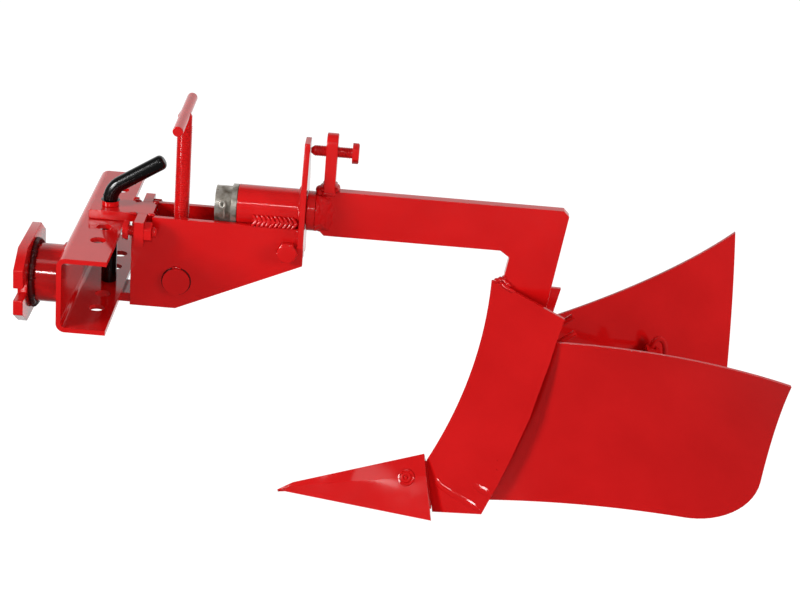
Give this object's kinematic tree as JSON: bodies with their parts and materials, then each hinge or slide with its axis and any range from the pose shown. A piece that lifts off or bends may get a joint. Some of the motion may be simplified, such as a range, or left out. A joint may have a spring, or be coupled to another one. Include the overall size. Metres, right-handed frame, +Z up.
{
  "type": "walk-behind ridger",
  "caption": "Ridging plough for a walk-behind tractor: share, mouldboards and hinged wings on a flat-bar beam, with a hitch that sets swing, pitch and roll.",
  "frame": {"origin": "middle of the hitch plate's front face, on the spigot tube's axis", "axes": "+X rearward from the hitch to the wings, +Y to the right-hand side, +Z up"},
  "size_m": [0.771, 0.4214, 0.4345],
  "materials": {
    "red_coat": "gloss powder coat",
    "bare_steel": "turned, bare",
    "black_grip": "dipped gloss sleeve"
  },
  "bodies": {
    "hitch": {"hitch_plate": "red_coat", "spigot_tube": "red_coat", "cross_channel": "red_coat"},
    "lock_pin": {"lock_pin": "red_coat", "pin_grip": "black_grip"},
    "swing_block": {"upper_tongue": "red_coat", "lower_tongue": "red_coat", "inner_arms": "red_coat", "ear_near": "red_coat", "ear_far": "red_coat", "swing_lock_nuts": "red_coat"},
    "swing_screw_near": {"swing_screw_near": "red_coat"},
    "swing_screw_far": {"swing_screw_far": "red_coat"},
    "pitch_frame": {"cheek_near": "red_coat", "cheek_far": "red_coat", "hub_tube": "red_coat", "roll_plate": "red_coat", "pivot_bolt": "red_coat", "pivot_nut": "red_coat", "cross_nut": "red_coat"},
    "thrust_pad": {"thrust_pad": "bare_steel"},
    "depth_screw": {"depth_screw": "red_coat", "t_bar": "red_coat"},
    "plough": {"shaft": "bare_steel", "shaft_washer": "bare_steel", "shaft_collar": "bare_steel", "split_pin": "bare_steel", "shoulder_ring": "red_coat", "beam": "red_coat", "upright": "red_coat", "mouldboard_near": "red_coat", "mouldboard_far": "red_coat", "frog_webs": "red_coat", "share": "red_coat", "share_seat": "red_coat", "share_bolts": "red_coat", "knuckles_near": "red_coat", "knuckles_far": "red_coat", "hinge_pin_near": "red_coat", "hinge_pin_far": "red_coat"},
    "roll_screw": {"roll_screw": "red_coat"},
    "wing_near": {"wing_near": "red_coat", "stay_lug_near": "red_coat", "stay_pin_near": "red_coat"},
    "wing_far": {"wing_far": "red_coat", "stay_lug_far": "red_coat", "stay_pin_far": "red_coat"},
    "stay_near": {"stay_near": "red_coat", "clamp_bolt": "red_coat", "clamp_nut": "red_coat"},
    "stay_far": {"stay_far": "red_coat"}
  },
  "joints": [
    {"name": "pin_lift", "type": "slide", "parent": "hitch", "child": "lock_pin", "axis": [0, 0, 1], "range_m": [0, 0.108]},
    {"name": "swing", "type": "hinge", "parent": "hitch", "child": "swing_block", "pos_m": [0.0745, 0.076, 0], "axis": [0, 0, 1], "range_deg": [-5, 5]},
    {"name": "swing_screw_near_feed", "type": "slide", "parent": "swing_block", "child": "swing_screw_near", "axis": [1, 0, 0], "range_m": [-0.0032, 0.0032]},
    {"name": "swing_screw_far_feed", "type": "slide", "parent": "swing_block", "child": "swing_screw_far", "axis": [1, 0, 0], "range_m": [-0.0032, 0.0032]},
    {"name": "pitch", "type": "hinge", "parent": "swing_block", "child": "pitch_frame", "pos_m": [0.2645, 0.076, 0.025], "axis": [0, -1, 0], "range_deg": [0, 3.49]},
    {"name": "pad_feed", "type": "slide", "parent": "pitch_frame", "child": "thrust_pad", "axis": [0, 0, 1], "range_m": [0, 0.0072]},
    {"name": "depth_turn", "type": "hinge", "parent": "thrust_pad", "child": "depth_screw", "pos_m": [0.1495, 0.076, 0], "axis": [0, 0, 1], "range_deg": [0, 1262]},
    {"name": "roll", "type": "hinge", "parent": "pitch_frame", "child": "plough", "pos_m": [0.245, 0.076, 0.063], "axis": [1, 0, 0], "range_deg": [-12, 12]},
    {"name": "roll_screw_feed", "type": "slide", "parent": "plough", "child": "roll_screw", "axis": [1, 0, 0], "range_m": [0, 0.01]},
    {"name": "wing_near_hinge", "type": "hinge", "parent": "plough", "child": "wing_near", "pos_m": [0.524, 0.054, -0.137], "axis": [0.2672, 0, 0.9636], "range_deg": [-5, 6]},
    {"name": "wing_far_hinge", "type": "hinge", "parent": "plough", "child": "wing_far", "pos_m": [0.524, 0.098, -0.137], "axis": [0.2672, 0, 0.9636], "range_deg": [-6.1, 5.1]},
    {"name": "stay_near_pivot", "type": "hinge", "parent": "wing_near", "child": "stay_near", "pos_m": [0.667, 0.004, -0.114], "axis": [0.2672, 0, 0.9636], "range_deg": [-6.1, 5.1]},
    {"name": "stay_far_pivot", "type": "hinge", "parent": "wing_far", "child": "stay_far", "pos_m": [0.667, 0.148, -0.114], "axis": [0.2672, 0, 0.9636], "range_deg": [-5.1, 6.1]}
  ],
  "couplings": [
    {"joint": "swing_screw_near_feed", "follows": "swing", "m_per_rad": -0.03535},
    {"joint": "swing_screw_far_feed", "follows": "swing", "m_per_rad": 0.03535},
    {"joint": "depth_turn", "follows": "pitch", "ratio": 361.1},
    {"joint": "pad_feed", "follows": "pitch", "m_per_rad": 0.115},
    {"joint": "wing_far_hinge", "follows": "wing_near_hinge", "ratio": -1},
    {"joint": "stay_near_pivot", "follows": "wing_near_hinge", "ratio": -1},
    {"joint": "stay_far_pivot", "follows": "wing_near_hinge", "ratio": 1}
  ]
}
